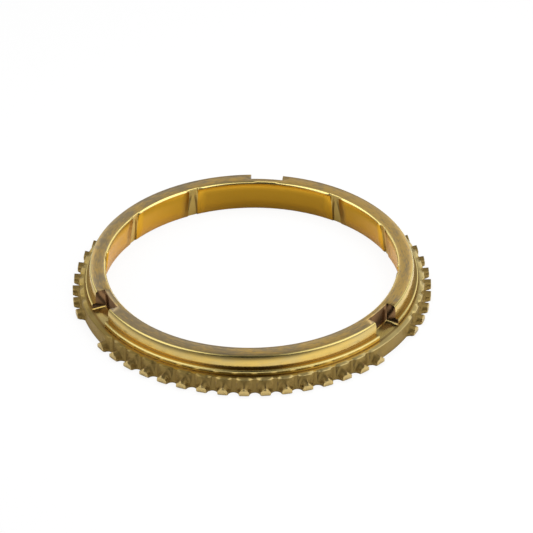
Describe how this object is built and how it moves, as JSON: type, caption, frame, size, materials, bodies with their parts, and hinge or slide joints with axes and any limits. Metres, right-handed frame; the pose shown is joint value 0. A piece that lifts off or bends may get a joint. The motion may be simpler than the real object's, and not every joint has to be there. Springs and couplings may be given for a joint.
{
  "type": "synchronizer ring",
  "caption": "Brass synchronizer ring with a tapered friction bore, oil grooves, key slots in the hub and a flange of pointed teeth.",
  "frame": {"origin": "on the ring's axis, in the plane of its back face", "axes": "+Z along the ring's axis, from the back face to the hub's end face; +Y through one key slot"},
  "size_m": [0.1302, 0.1295, 0.0128],
  "materials": {
    "brass": "forged brass, turned to a satin finish"
  },
  "bodies": {
    "root": {"synchronizer_ring": "brass"}
  },
  "joints": []
}
